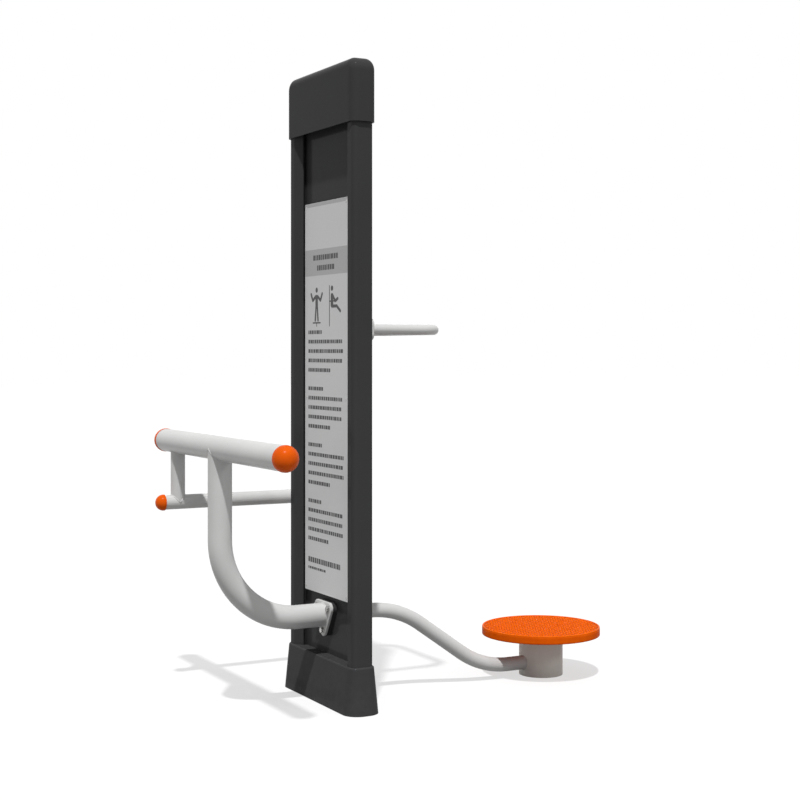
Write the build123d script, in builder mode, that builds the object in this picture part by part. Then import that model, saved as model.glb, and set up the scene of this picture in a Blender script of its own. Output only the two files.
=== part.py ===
"""Outdoor waist twister with leg bars, an information post and a spinning foot disc.

Millimetres, +Z up. The origin is on the ground under the middle of the post. The post's
information side and the leg bars face -Y, the foot disc stands behind the post at +Y,
and +X is on the right of someone who faces the information side from behind it.
"""
import os
from math import cos, radians, sin, tan

from build123d import *

os.makedirs("parts", exist_ok=True)

# Post: two profiled rails with a sheet between them.
post_width = 486.0
post_depth = 72.0
post_corner_radius = 16.0
rail_crest = 24.0
rail_slope_run = 33.0
rail_slope_drop = 16.5
rail_crest_radius = 9.0
rail_lip_radius = 3.0
rail_slot_depth = 28.0
rail_rib_half = 6.0
rail_wall = 4.0
panel_thickness = 6.0
panel_tongue = 10.0
panel_play = 0.1

# Foot of the post: the anchored plate and the skirt that hides it.
foot_length = 500.0
foot_depth = 98.0
foot_thickness = 12.0
foot_corner_radius = 26.0
anchor_hole = 16.0
anchor_pitch_x = 220.0
anchor_pitch_y = 62.0
skirt_height = 147.0
skirt_top_margin = 8.0
skirt_bottom_margin = 23.0
skirt_top_radius = 32.0
skirt_low_radius = 50.0
skirt_wall = 4.0
skirt_edge_radius = 6.0
skirt_play = 0.4

# Head of the post: the rounded cap, held by two screws in its back.
cap_bottom = 1839.0
cap_height = 201.0
cap_margin = 8.0
cap_corner_radius = 40.0
cap_edge_radius = 28.0
cap_wall = 4.0
cap_rail_cover = 151.0
cap_pad_width = 20.0
cap_pad_height = 60.0
cap_pad_lift = 22.0
cap_screw_shank = 6.0
cap_screw_head = 12.0
cap_screw_head_height = 3.0
cap_screw_length = 20.0
screw_play = 0.2

# Information panel on the front of the post.
sign_width = 322.0
sign_height = 1276.0
sign_bottom = 337.0
sign_thickness = 3.0
sign_corner_radius = 3.0
backing_thickness = 8.5
backing_inset = 4.0
sign_screw_inset_x = 10.0
sign_screw_inset_z = 12.0
sign_screw_shank = 4.0
sign_screw_head = 8.0
sign_screw_head_height = 1.6

# Flanged joint that clamps the front and rear arms back to back through the post.
flange_height = 275.0
flange_thickness = 8.0
mount_thickness = 15.0
flange_bolt_radius = 50.0
flange_lobe_radius = 19.0
flange_edge_radius = 1.5
bolt_diameter = 10.0
bolt_play = 0.3
bolt_head_across = 16.0
bolt_head_height = 6.4
nut_height = 8.4
washer_diameter = 20.0
washer_thickness = 2.0
bolt_thread_over = 3.0

# Front arm and the leg bars that it carries.
arm_diameter = 76.0
arm_wall = 4.0
arm_bend_radius = 262.0
leg_bar_reach = 380.0
leg_bar_height = 823.0
leg_bar_length = 1000.0
ball_offset = 5.5
ball_diameter = 79.0
ball_spigot = 30.0
spigot_play = 0.1
cope_play = 0.05
side_diameter = 48.0
side_wall = 3.5
side_bar_inset = 115.0
side_bar_drop = 201.0
side_bar_overhang = 48.0
side_bar_back = 90.0
side_ball_offset = 3.0
side_ball_diameter = 54.0
side_ball_spigot = 22.0

# Rear arm down to the foot disc's column.
rear_bend_radius = 320.0
rear_bend_start = 147.0
rear_bend_angle = 35.0
rear_arm_low = 46.0

# Column and turntable.
disc_reach = 815.0
column_diameter = 152.0
column_wall = 6.0
column_height = 134.0
column_plate = 10.0
column_play = 0.2
column_anchor_hole = 13.0
column_anchor_radius = 46.0
column_anchor_count = 4
housing_wall = 6.0
housing_bottom = 62.0
bearing_outer = 62.0
bearing_bore = 30.0
bearing_width = 16.0
bearing_ring = 4.5
bearing_sink = 4.0
bearing_seat_play = 0.05
bearing_shoulder = 3.0
bearing_ball = 9.5
bearing_ball_play = 0.3
bearing_ball_count = 9
bearing_chamfer = 0.8
cage_thickness = 1.2
cage_height = 6.0
hub_diameter = 120.0
hub_thickness = 8.0
hub_clearance = 4.0
hub_pilot_height = 5.0
hub_screw_radius = 45.0
hub_screw_count = 4
hub_screw_shank = 8.0
hub_screw_head = 16.0
hub_screw_head_height = 4.0
hub_screw_grip = 9.0
hub_screw_angle = 90.0
spindle_collar = 38.0
spindle_over = 14.0
lock_nut_across = 41.0
lock_nut_height = 10.0
disc_diameter = 410.0
disc_top = 165.0
disc_rim = 26.0
disc_skin = 6.0
disc_rim_wall = 6.0
disc_top_radius = 4.0
disc_bottom_radius = 2.0
disc_boss_diameter = 132.0
disc_rib_count = 12
disc_rib_width = 5.0
disc_rib_depth = 12.0
disc_ring_radius = 132.0

# Hand grip behind the post.
grip_height = 1195.0
grip_diameter = 32.0
grip_wall = 3.0
grip_spread = 420.0
grip_reach = 296.0
grip_bend_radius = 70.0
grip_plate_width = 38.0
grip_plate_edge = 8.0
grip_plate_thickness = 8.0
grip_screw_pitch = 52.0
grip_screw_shank = 8.0
grip_screw_head = 14.0
grip_screw_head_height = 4.0
grip_screw_length = 24.0

# Places that follow from the sizes above.
half_width = post_width / 2
half_depth = post_depth / 2
half_panel = panel_thickness / 2
crest_inner = half_width - post_corner_radius - rail_crest
slope_inner = crest_inner - rail_slope_run
slope_depth = half_depth - rail_slope_drop
web_inner = slope_inner + rail_slot_depth
panel_edge = web_inner - panel_play
cap_top = cap_bottom + cap_height
rail_top = cap_bottom + cap_rail_cover
mount_face = half_panel + mount_thickness
flange_face = mount_face + flange_thickness
arm_radius = arm_diameter / 2
side_radius = side_diameter / 2
side_bar_offset = leg_bar_length / 2 - side_bar_inset
side_bar_height = leg_bar_height - side_bar_drop
side_bar_front = leg_bar_reach + side_bar_overhang
column_radius = column_diameter / 2
column_bore = column_radius - column_wall
disc_section = Plane.XZ.offset(-disc_reach)
disc_axis = Axis((0, disc_reach, 0), (0, 0, 1))
grip_x = grip_spread / 2
grip_face = half_depth + grip_plate_thickness
grip_plate_height = grip_screw_pitch + 2 * grip_plate_edge
cap_pad_middle = cap_bottom + cap_pad_lift + cap_pad_height / 2
cap_screw_x = half_width - post_corner_radius - rail_crest / 2
cap_back = half_depth + cap_margin
sign_face_front = half_panel + backing_thickness + sign_thickness
sign_middle = sign_bottom + sign_height / 2
sign_screw_x = sign_width / 2 - sign_screw_inset_x
sign_screw_pitch_z = sign_height / 2 - sign_screw_inset_z
foot_anchor_places = [
    (sx * anchor_pitch_x / 2, sy * anchor_pitch_y / 2) for sx in (-1, 1) for sy in (-1, 1)
]
flange_bolt_places = [
    (flange_bolt_radius * cos(radians(a)), flange_height + flange_bolt_radius * sin(radians(a)))
    for a in (-90, 30, 150)
]
sign_screw_places = [
    (sx * sign_screw_x, sign_middle + sz * sign_screw_pitch_z) for sx in (-1, 1) for sz in (-1, 0, 1)
]
grip_screw_places = [(grip_x, grip_height + s * grip_screw_pitch / 2) for s in (-1, 1)]


def rail_outline(play=0):
    """Plan outline of the right-hand rail as a face, grown by a clearance."""
    with BuildSketch() as outline:
        with BuildLine():
            Polyline(
                (slope_inner, -slope_depth),
                (crest_inner, -half_depth),
                (half_width, -half_depth),
                (half_width, half_depth),
                (crest_inner, half_depth),
                (slope_inner, slope_depth),
                close=True,
            )
        make_face()
        across = outline.vertices().group_by(Axis.X)
        fillet(across[-1], post_corner_radius)
        bends = outline.vertices()
        fillet([v for v in bends if abs(v.X - crest_inner) < rail_wall / 8], rail_crest_radius)
        bends = outline.vertices()
        fillet([v for v in bends if abs(v.X - slope_inner) < rail_wall / 8], rail_lip_radius)
        if play:
            offset(amount=play)
    return outline.sketch


# Rails: hollow profiles with a sloping shoulder and a slot whose web holds the sheet in ribs.
with BuildPart() as rail_right:
    with BuildSketch(Plane.XY.offset(foot_thickness)) as rail_section:
        add(rail_outline())
        offset(amount=-rail_wall, mode=Mode.SUBTRACT)
        with Locations((slope_inner, 0)):
            Rectangle(2 * rail_wall, 2 * (slope_depth - rail_wall), mode=Mode.SUBTRACT)
        with Locations((web_inner, 0)):
            Rectangle(
                rail_wall, 2 * (half_depth - rail_wall), align=(Align.MIN, Align.CENTER)
            )
            Rectangle(panel_tongue, 2 * rail_rib_half, align=(Align.MAX, Align.CENTER))
            Rectangle(
                panel_tongue,
                panel_thickness + 2 * panel_play,
                align=(Align.MAX, Align.CENTER),
                mode=Mode.SUBTRACT,
            )
    extrude(amount=rail_top - foot_thickness)
    with BuildSketch(Plane.XZ.offset(-half_depth)):
        with Locations((cap_screw_x, cap_pad_middle)):
            Circle(cap_screw_shank / 2 + screw_play)
        with Locations(*grip_screw_places):
            Circle(grip_screw_shank / 2 + screw_play)
    extrude(amount=2 * rail_wall, mode=Mode.SUBTRACT)
rail_right.part.label = "rail_right"
export_step(rail_right.part, "parts/rail_right.step")

with BuildPart() as rail_left:
    mirror(rail_right.part, about=Plane.YZ)
rail_left.part.label = "rail_left"
export_step(rail_left.part, "parts/rail_left.step")

# Sheet between the rails, standing on the foot plate and drilled for the flange and the sign.
with BuildPart() as infill_panel:
    with BuildSketch(Plane.XZ.offset(-half_panel)) as panel_sketch:
        with Locations((0, foot_thickness)):
            Rectangle(2 * panel_edge, rail_top - foot_thickness, align=(Align.CENTER, Align.MIN))
        with Locations(*flange_bolt_places):
            Circle(bolt_diameter / 2 + bolt_play, mode=Mode.SUBTRACT)
        with Locations(*sign_screw_places):
            Circle(sign_screw_shank / 2 + screw_play, mode=Mode.SUBTRACT)
    extrude(amount=panel_thickness)
infill_panel.part.label = "infill_panel"
export_step(infill_panel.part, "parts/infill_panel.step")

# Foot plate with four anchor holes, two on each side of the sheet.
with BuildPart() as foot_plate:
    with BuildSketch():
        RectangleRounded(foot_length, foot_depth, foot_corner_radius)
        with Locations(*foot_anchor_places):
            Circle(anchor_hole / 2, mode=Mode.SUBTRACT)
    extrude(amount=foot_thickness)
foot_plate.part.label = "foot_plate"
export_step(foot_plate.part, "parts/foot_plate.step")

# Skirt: a tapering shell, closed on top but for the outline of the rails and the sheet.
skirt_top_length = post_width + 2 * skirt_top_margin
skirt_top_depth = post_depth + 2 * skirt_top_margin
skirt_low_length = post_width + 2 * skirt_bottom_margin
skirt_low_depth = post_depth + 2 * skirt_bottom_margin
with BuildPart() as skirt:
    with BuildSketch():
        RectangleRounded(skirt_low_length, skirt_low_depth, skirt_low_radius)
    with BuildSketch(Plane.XY.offset(skirt_height)):
        RectangleRounded(skirt_top_length, skirt_top_depth, skirt_top_radius)
    loft(ruled=True)
    fillet(skirt.faces().sort_by(Axis.Z)[-1].edges(), skirt_edge_radius)
    with BuildSketch():
        RectangleRounded(
            skirt_low_length - 2 * skirt_wall,
            skirt_low_depth - 2 * skirt_wall,
            skirt_low_radius - skirt_wall,
        )
    with BuildSketch(Plane.XY.offset(skirt_height - skirt_wall)):
        RectangleRounded(
            skirt_top_length - 2 * skirt_wall,
            skirt_top_depth - 2 * skirt_wall,
            skirt_top_radius - skirt_wall,
        )
    loft(ruled=True, mode=Mode.SUBTRACT)
    with BuildSketch(Plane.XY.offset(skirt_height)):
        add(rail_outline(skirt_play))
        mirror(about=Plane.YZ)
        Rectangle(2 * panel_edge, panel_thickness + 2 * skirt_play)
    extrude(amount=-2 * skirt_wall, mode=Mode.SUBTRACT)
skirt.part.label = "skirt"
export_step(skirt.part, "parts/skirt.step")


def cap_block(shrink=0):
    """Front outline of the cap with rounded top corners, pulled through its depth."""
    with BuildPart() as block:
        depth = cap_back - shrink
        with BuildSketch(Plane.XZ.offset(depth)) as front:
            with Locations((0, cap_bottom)):
                Rectangle(
                    post_width + 2 * (cap_margin - shrink),
                    cap_height - shrink,
                    align=(Align.CENTER, Align.MIN),
                )
            fillet(front.vertices().group_by(Axis.Y)[-1], cap_corner_radius - shrink)
        extrude(amount=-2 * depth)
        rims = block.faces().filter_by(Axis.Y).edges()
        fillet(
            [e for e in rims if e.center().Z > cap_bottom + cap_wall],
            cap_edge_radius - shrink,
        )
    return block.part


# Cap: a shell open below, with four pads inside that bear on the flat crests of the rails.
with BuildPart() as cap:
    add(cap_block())
    add(cap_block(cap_wall), mode=Mode.SUBTRACT)
    with BuildSketch(Plane.XZ.offset(cap_back - cap_wall / 2)):
        with Locations((-cap_screw_x, cap_pad_middle), (cap_screw_x, cap_pad_middle)):
            Rectangle(cap_pad_width, cap_pad_height)
    extrude(amount=half_depth - (cap_back - cap_wall / 2))
    with BuildSketch(Plane.XZ.offset(-half_depth)):
        with Locations((-cap_screw_x, cap_pad_middle), (cap_screw_x, cap_pad_middle)):
            Rectangle(cap_pad_width, cap_pad_height)
    extrude(amount=half_depth - (cap_back - cap_wall / 2))
    with BuildSketch(Plane.XZ.offset(-cap_back)):
        with Locations((-cap_screw_x, cap_pad_middle), (cap_screw_x, cap_pad_middle)):
            Circle(cap_screw_shank / 2 + screw_play)
    extrude(amount=cap_margin + cap_wall, mode=Mode.SUBTRACT)
cap.part.label = "cap"
export_step(cap.part, "parts/cap.step")

# Two dome-headed screws through the back of the cap into the rails.
with BuildPart() as cap_screws:
    for cap_screw_side in (-cap_screw_x, cap_screw_x):
        with BuildSketch(Plane.XZ.offset(-cap_back)):
            with Locations((cap_screw_side, cap_pad_middle)):
                Circle(cap_screw_shank / 2)
        extrude(amount=cap_screw_length)
        with BuildSketch(Plane.XZ.offset(-cap_back)):
            with Locations((cap_screw_side, cap_pad_middle)):
                Circle(cap_screw_head / 2)
        extrude(amount=-cap_screw_head_height)
    fillet(
        cap_screws.edges().filter_by(GeomType.CIRCLE).sort_by(Axis.Y)[-2:],
        cap_screw_head_height / 2,
    )
cap_screws.part.label = "cap_screws"
export_step(cap_screws.part, "parts/cap_screws.step")

# Information panel: a backing board on the sheet and a printed plate on the board.
with BuildPart() as sign_backing:
    with BuildSketch(Plane.XZ.offset(half_panel)):
        with Locations((0, sign_middle)):
            Rectangle(sign_width - 2 * backing_inset, sign_height - 2 * backing_inset)
        with Locations(*sign_screw_places):
            Circle(sign_screw_shank / 2 + screw_play, mode=Mode.SUBTRACT)
    extrude(amount=backing_thickness)
sign_backing.part.label = "sign_backing"
export_step(sign_backing.part, "parts/sign_backing.step")

with BuildPart() as sign_plate:
    with BuildSketch(Plane.XZ.offset(half_panel + backing_thickness)):
        with Locations((0, sign_middle)):
            RectangleRounded(sign_width, sign_height, sign_corner_radius)
        with Locations(*sign_screw_places):
            Circle(sign_screw_shank / 2 + screw_play, mode=Mode.SUBTRACT)
    extrude(amount=sign_thickness)
sign_plate.part.label = "sign_plate"
export_step(sign_plate.part, "parts/sign_plate.step")

with BuildPart() as sign_screws:
    with BuildSketch(Plane.XZ.offset(sign_face_front)):
        with Locations(*sign_screw_places):
            Circle(sign_screw_shank / 2)
    extrude(amount=-(sign_face_front + half_panel))
    with BuildSketch(Plane.XZ.offset(sign_face_front)):
        with Locations(*sign_screw_places):
            Circle(sign_screw_head / 2)
    extrude(amount=sign_screw_head_height, taper=45)
sign_screws.part.label = "sign_screws"
export_step(sign_screws.part, "parts/sign_screws.step")


def lobed_outline(bore=0):
    """Rounded three-cornered outline of a flange, with one corner down, and its holes."""
    with BuildSketch() as outline:
        with Locations(*flange_bolt_places):
            Circle(flange_lobe_radius)
        make_hull()
        with Locations(*flange_bolt_places):
            Circle(bolt_diameter / 2 + bolt_play, mode=Mode.SUBTRACT)
        if bore:
            with Locations((0, flange_height)):
                Circle(bore, mode=Mode.SUBTRACT)
    return outline.sketch


# Spacer plates on both faces of the sheet, with the same outline as the flanges.
with BuildPart() as front_mount:
    with BuildSketch(Plane.XZ.offset(half_panel)):
        add(lobed_outline())
    extrude(amount=mount_thickness)
front_mount.part.label = "front_mount"
export_step(front_mount.part, "parts/front_mount.step")

with BuildPart() as rear_mount:
    with BuildSketch(Plane.XZ.offset(-half_panel)):
        add(lobed_outline())
    extrude(amount=-mount_thickness)
rear_mount.part.label = "rear_mount"
export_step(rear_mount.part, "parts/rear_mount.step")

# Flanges that the arms are welded to.
with BuildPart() as front_flange:
    with BuildSketch(Plane.XZ.offset(mount_face)):
        add(lobed_outline(arm_radius - arm_wall))
    extrude(amount=flange_thickness)
    chamfer(
        front_flange.faces().sort_by(Axis.Y)[0].outer_wire().edges(),
        flange_edge_radius,
    )
front_flange.part.label = "front_flange"
export_step(front_flange.part, "parts/front_flange.step")

with BuildPart() as rear_flange:
    with BuildSketch(Plane.XZ.offset(-mount_face)):
        add(lobed_outline(side_radius - side_wall))
    extrude(amount=-flange_thickness)
    chamfer(
        rear_flange.faces().sort_by(Axis.Y)[-1].outer_wire().edges(),
        flange_edge_radius,
    )
rear_flange.part.label = "rear_flange"
export_step(rear_flange.part, "parts/rear_flange.step")

# Three through bolts with washers, and their nuts on the rear flange.
bolt_seat = flange_face + washer_thickness
with BuildPart() as flange_bolts:
    with BuildSketch(Plane.XZ.offset(flange_face)):
        with Locations(*flange_bolt_places):
            Circle(washer_diameter / 2)
    extrude(amount=washer_thickness)
    with BuildSketch(Plane.XZ.offset(bolt_seat)):
        with Locations(*flange_bolt_places):
            RegularPolygon(bolt_head_across / 2, 6, major_radius=False)
    extrude(amount=bolt_head_height)
    with BuildSketch(Plane.XZ.offset(bolt_seat)):
        with Locations(*flange_bolt_places):
            Circle(bolt_diameter / 2)
    extrude(amount=-(2 * bolt_seat + nut_height + bolt_thread_over))
flange_bolts.part.label = "flange_bolts"
export_step(flange_bolts.part, "parts/flange_bolts.step")

with BuildPart() as flange_nuts:
    with BuildSketch(Plane.XZ.offset(-flange_face)):
        with Locations(*flange_bolt_places):
            Circle(washer_diameter / 2)
            Circle(bolt_diameter / 2, mode=Mode.SUBTRACT)
    extrude(amount=-washer_thickness)
    with BuildSketch(Plane.XZ.offset(-bolt_seat)):
        with Locations(*flange_bolt_places):
            RegularPolygon(bolt_head_across / 2, 6, major_radius=False)
            Circle(bolt_diameter / 2, mode=Mode.SUBTRACT)
    extrude(amount=-nut_height)
flange_nuts.part.label = "flange_nuts"
export_step(flange_nuts.part, "parts/flange_nuts.step")

# Front arm: one bent tube from the flange up to the leg bar, coped to the bar's round.
with BuildPart() as front_arm:
    with BuildLine(Plane.YZ) as front_arm_path:
        FilletPolyline(
            (-flange_face, flange_height),
            (-leg_bar_reach, flange_height),
            (-leg_bar_reach, leg_bar_height),
            radius=arm_bend_radius,
        )
    with BuildSketch(Plane(origin=(0, -flange_face, flange_height), z_dir=(0, -1, 0))):
        Circle(arm_radius)
        Circle(arm_radius - arm_wall, mode=Mode.SUBTRACT)
    sweep(path=front_arm_path.line)
    with BuildSketch(Plane.YZ.offset(-leg_bar_length / 2)):
        with Locations((-leg_bar_reach, leg_bar_height)):
            Circle(arm_radius + cope_play)
    extrude(amount=leg_bar_length, mode=Mode.SUBTRACT)
front_arm.part.label = "front_arm"
export_step(front_arm.part, "parts/front_arm.step")

# Leg bar across the top of the arm, with a ball cap plugged into each end.
with BuildPart() as leg_bar:
    with BuildSketch(Plane.YZ.offset(-leg_bar_length / 2)):
        with Locations((-leg_bar_reach, leg_bar_height)):
            Circle(arm_radius)
            Circle(arm_radius - arm_wall, mode=Mode.SUBTRACT)
    extrude(amount=leg_bar_length)
leg_bar.part.label = "leg_bar"
export_step(leg_bar.part, "parts/leg_bar.step")

with BuildPart() as leg_ball_right:
    with BuildSketch(Plane.XZ.offset(leg_bar_reach)):
        with Locations((leg_bar_length / 2 + ball_offset, leg_bar_height)):
            Circle(ball_diameter / 2)
        with Locations((leg_bar_length / 2, leg_bar_height)):
            Rectangle(
                ball_diameter,
                ball_diameter,
                align=(Align.MIN, Align.MIN),
                mode=Mode.INTERSECT,
            )
            Rectangle(
                ball_spigot,
                arm_radius - arm_wall - spigot_play,
                align=(Align.MAX, Align.MIN),
            )
    revolve(axis=Axis((0, -leg_bar_reach, leg_bar_height), (1, 0, 0)))
leg_ball_right.part.label = "leg_ball_right"
export_step(leg_ball_right.part, "parts/leg_ball_right.step")

with BuildPart() as leg_ball_left:
    mirror(leg_ball_right.part, about=Plane.YZ)
leg_ball_left.part.label = "leg_ball_left"
export_step(leg_ball_left.part, "parts/leg_ball_left.step")

# Low side bar beside the post, hung from the leg bar by a short riser coped at both ends.
side_plane = Plane.YZ.offset(-side_bar_offset)
with BuildPart() as side_riser:
    with BuildSketch(Plane(origin=(-side_bar_offset, -leg_bar_reach, side_bar_height))):
        Circle(side_radius)
        Circle(side_radius - side_wall, mode=Mode.SUBTRACT)
    extrude(amount=leg_bar_height - side_bar_height)
    with BuildSketch(side_plane.offset(-side_diameter)):
        with Locations((-leg_bar_reach, leg_bar_height)):
            Circle(arm_radius + cope_play)
    extrude(amount=2 * side_diameter, mode=Mode.SUBTRACT)
    with BuildSketch(Plane.XZ.offset(leg_bar_reach - side_diameter)):
        with Locations((-side_bar_offset, side_bar_height)):
            Circle(side_radius + cope_play)
    extrude(amount=2 * side_diameter, mode=Mode.SUBTRACT)
side_riser.part.label = "side_riser"
export_step(side_riser.part, "parts/side_riser.step")

with BuildPart() as side_bar:
    with BuildSketch(Plane.XZ.offset(side_bar_front)):
        with Locations((-side_bar_offset, side_bar_height)):
            Circle(side_radius)
            Circle(side_radius - side_wall, mode=Mode.SUBTRACT)
    extrude(amount=-(side_bar_front + side_bar_back))
side_bar.part.label = "side_bar"
export_step(side_bar.part, "parts/side_bar.step")

side_bar_axis = Axis((-side_bar_offset, 0, side_bar_height), (0, 1, 0))
with BuildPart() as side_ball_front:
    with BuildSketch(side_plane):
        with Locations((-side_bar_front - side_ball_offset, side_bar_height)):
            Circle(side_ball_diameter / 2)
        with Locations((-side_bar_front, side_bar_height)):
            Rectangle(
                side_ball_diameter,
                side_ball_diameter,
                align=(Align.MAX, Align.MIN),
                mode=Mode.INTERSECT,
            )
            Rectangle(
                side_ball_spigot,
                side_radius - side_wall - spigot_play,
                align=(Align.MIN, Align.MIN),
            )
    revolve(axis=side_bar_axis)
side_ball_front.part.label = "side_ball_front"
export_step(side_ball_front.part, "parts/side_ball_front.step")

side_bar_middle = (side_bar_back - side_bar_front) / 2
with BuildPart() as side_ball_rear:
    mirror(side_ball_front.part, about=Plane.XZ.offset(-side_bar_middle))
side_ball_rear.part.label = "side_ball_rear"
export_step(side_ball_rear.part, "parts/side_ball_rear.step")

# Rear arm: a thin tube that drops in an S-bend and is coped to the column.
rear_tangent = rear_bend_radius * tan(radians(rear_bend_angle) / 2)
rear_drop = flange_height - rear_arm_low
rear_corner_high = rear_bend_start + rear_tangent
rear_corner_low = rear_corner_high + rear_drop / tan(radians(rear_bend_angle))
with BuildPart() as rear_arm:
    with BuildLine(Plane.YZ) as rear_arm_path:
        FilletPolyline(
            (flange_face, flange_height),
            (rear_corner_high, flange_height),
            (rear_corner_low, rear_arm_low),
            (disc_reach, rear_arm_low),
            radius=rear_bend_radius,
        )
    with BuildSketch(Plane(origin=(0, flange_face, flange_height), z_dir=(0, 1, 0))):
        Circle(side_radius)
        Circle(side_radius - side_wall, mode=Mode.SUBTRACT)
    sweep(path=rear_arm_path.line)
    with BuildSketch(Plane(origin=(0, disc_reach, 0))):
        Circle(column_radius + cope_play)
    extrude(amount=column_height, mode=Mode.SUBTRACT)
rear_arm.part.label = "rear_arm"
export_step(rear_arm.part, "parts/rear_arm.step")

# Column: a short wide tube with an anchored foot plate and a top plate inside it.
with BuildPart() as column:
    with BuildSketch(Plane(origin=(0, disc_reach, 0))):
        Circle(column_radius)
        Circle(column_bore, mode=Mode.SUBTRACT)
    extrude(amount=column_height)
column.part.label = "column"
export_step(column.part, "parts/column.step")

with BuildPart() as column_foot:
    with BuildSketch(Plane(origin=(0, disc_reach, 0))):
        Circle(column_bore - column_play)
        with PolarLocations(column_anchor_radius, column_anchor_count, start_angle=45):
            Circle(column_anchor_hole / 2, mode=Mode.SUBTRACT)
    extrude(amount=column_plate)
column_foot.part.label = "column_foot"
export_step(column_foot.part, "parts/column_foot.step")

# Bearing housing: a stepped sleeve under the top plate, with a shoulder for each bearing.
housing_bore = bearing_outer / 2 + bearing_seat_play
housing_radius = housing_bore + housing_wall
upper_bearing_top = column_height - bearing_sink
upper_bearing_low = upper_bearing_top - bearing_width
lower_bearing_low = housing_bottom + bearing_sink
lower_bearing_top = lower_bearing_low + bearing_width
with BuildPart() as column_top:
    with BuildSketch(disc_section):
        with Locations((housing_radius, column_height)):
            Rectangle(
                column_bore - column_play - housing_radius,
                column_plate,
                align=(Align.MIN, Align.MAX),
            )
    revolve(axis=disc_axis)
column_top.part.label = "column_top"
export_step(column_top.part, "parts/column_top.step")

with BuildPart() as bearing_housing:
    with BuildSketch(disc_section):
        with Locations((housing_bore, housing_bottom)):
            Rectangle(housing_wall, column_height - housing_bottom, align=(Align.MIN, Align.MIN))
        with Locations((housing_bore, lower_bearing_top)):
            Rectangle(
                bearing_shoulder,
                upper_bearing_low - lower_bearing_top,
                align=(Align.MAX, Align.MIN),
            )
    revolve(axis=disc_axis)
bearing_housing.part.label = "bearing_housing"
export_step(bearing_housing.part, "parts/bearing_housing.step")

# Two deep-groove ball bearings: outer rings, inner rings, and balls in their cages.
ball_circle = (bearing_outer + bearing_bore) / 4
groove_radius = bearing_ball / 2 + bearing_ball_play


def outer_ring(low):
    """Outer ring with its ball groove, standing on a height."""
    with BuildPart() as ring:
        with BuildSketch(disc_section) as section:
            with Locations((bearing_outer / 2, low)):
                Rectangle(bearing_ring, bearing_width, align=(Align.MAX, Align.MIN))
            chamfer(section.vertices().group_by(Axis.X)[-1], bearing_chamfer)
            with Locations((ball_circle, low + bearing_width / 2)):
                Circle(groove_radius, mode=Mode.SUBTRACT)
        revolve(axis=disc_axis)
    return ring.part


def inner_ring(low):
    """Inner ring with its ball groove, standing on a height."""
    with BuildPart() as ring:
        with BuildSketch(disc_section) as section:
            with Locations((bearing_bore / 2, low)):
                Rectangle(bearing_ring, bearing_width, align=(Align.MIN, Align.MIN))
            chamfer(section.vertices().group_by(Axis.X)[0], bearing_chamfer)
            with Locations((ball_circle, low + bearing_width / 2)):
                Circle(groove_radius, mode=Mode.SUBTRACT)
        revolve(axis=disc_axis)
    return ring.part


def caged_balls(low):
    """A ring of balls held by a narrow cage ribbon."""
    with BuildPart() as balls:
        middle = low + bearing_width / 2
        with BuildSketch(disc_section):
            with Locations((ball_circle, middle)):
                Rectangle(cage_thickness, cage_height)
        revolve(axis=disc_axis)
        with Locations(Plane(origin=(0, disc_reach, middle))):
            with PolarLocations(ball_circle, bearing_ball_count):
                Sphere(bearing_ball / 2)
    return balls.part


with BuildPart() as bearing_upper_outer:
    add(outer_ring(upper_bearing_low))
bearing_upper_outer.part.label = "bearing_upper_outer"
export_step(bearing_upper_outer.part, "parts/bearing_upper_outer.step")

with BuildPart() as bearing_lower_outer:
    add(outer_ring(lower_bearing_low))
bearing_lower_outer.part.label = "bearing_lower_outer"
export_step(bearing_lower_outer.part, "parts/bearing_lower_outer.step")

with BuildPart() as bearing_upper_inner:
    add(inner_ring(upper_bearing_low))
bearing_upper_inner.part.label = "bearing_upper_inner"
export_step(bearing_upper_inner.part, "parts/bearing_upper_inner.step")

with BuildPart() as bearing_lower_inner:
    add(inner_ring(lower_bearing_low))
bearing_lower_inner.part.label = "bearing_lower_inner"
export_step(bearing_lower_inner.part, "parts/bearing_lower_inner.step")

with BuildPart() as bearing_upper_balls:
    add(caged_balls(upper_bearing_low))
bearing_upper_balls.part.label = "bearing_upper_balls"
export_step(bearing_upper_balls.part, "parts/bearing_upper_balls.step")

with BuildPart() as bearing_lower_balls:
    add(caged_balls(lower_bearing_low))
bearing_lower_balls.part.label = "bearing_lower_balls"
export_step(bearing_lower_balls.part, "parts/bearing_lower_balls.step")

# Spindle: the disc's hub plate on a collar and a shaft that runs down through both bearings.
hub_low = column_height + hub_clearance
hub_top = hub_low + hub_thickness
shaft_radius = bearing_bore / 2 - bearing_seat_play
shaft_low = lower_bearing_low - spindle_over
with BuildPart() as spindle:
    with BuildSketch(disc_section):
        with Locations((0, hub_low)):
            Rectangle(hub_diameter / 2, hub_thickness, align=(Align.MIN, Align.MIN))
            Rectangle(
                spindle_collar / 2,
                hub_low - upper_bearing_top,
                align=(Align.MIN, Align.MAX),
            )
            Rectangle(shaft_radius, hub_low - shaft_low, align=(Align.MIN, Align.MAX))
        with Locations((0, hub_top)):
            Rectangle(shaft_radius, hub_pilot_height, align=(Align.MIN, Align.MIN))
    revolve(axis=disc_axis)
    with Locations(Plane(origin=(0, disc_reach, hub_low), x_dir=(1, 0, 0), z_dir=(0, 0, -1))):
        with PolarLocations(hub_screw_radius, hub_screw_count):
            CounterSinkHole(
                hub_screw_shank / 2 + screw_play,
                hub_screw_head / 2 + screw_play,
                depth=hub_thickness,
                counter_sink_angle=hub_screw_angle,
            )
spindle.part.label = "spindle"
export_step(spindle.part, "parts/spindle.step")

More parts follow.
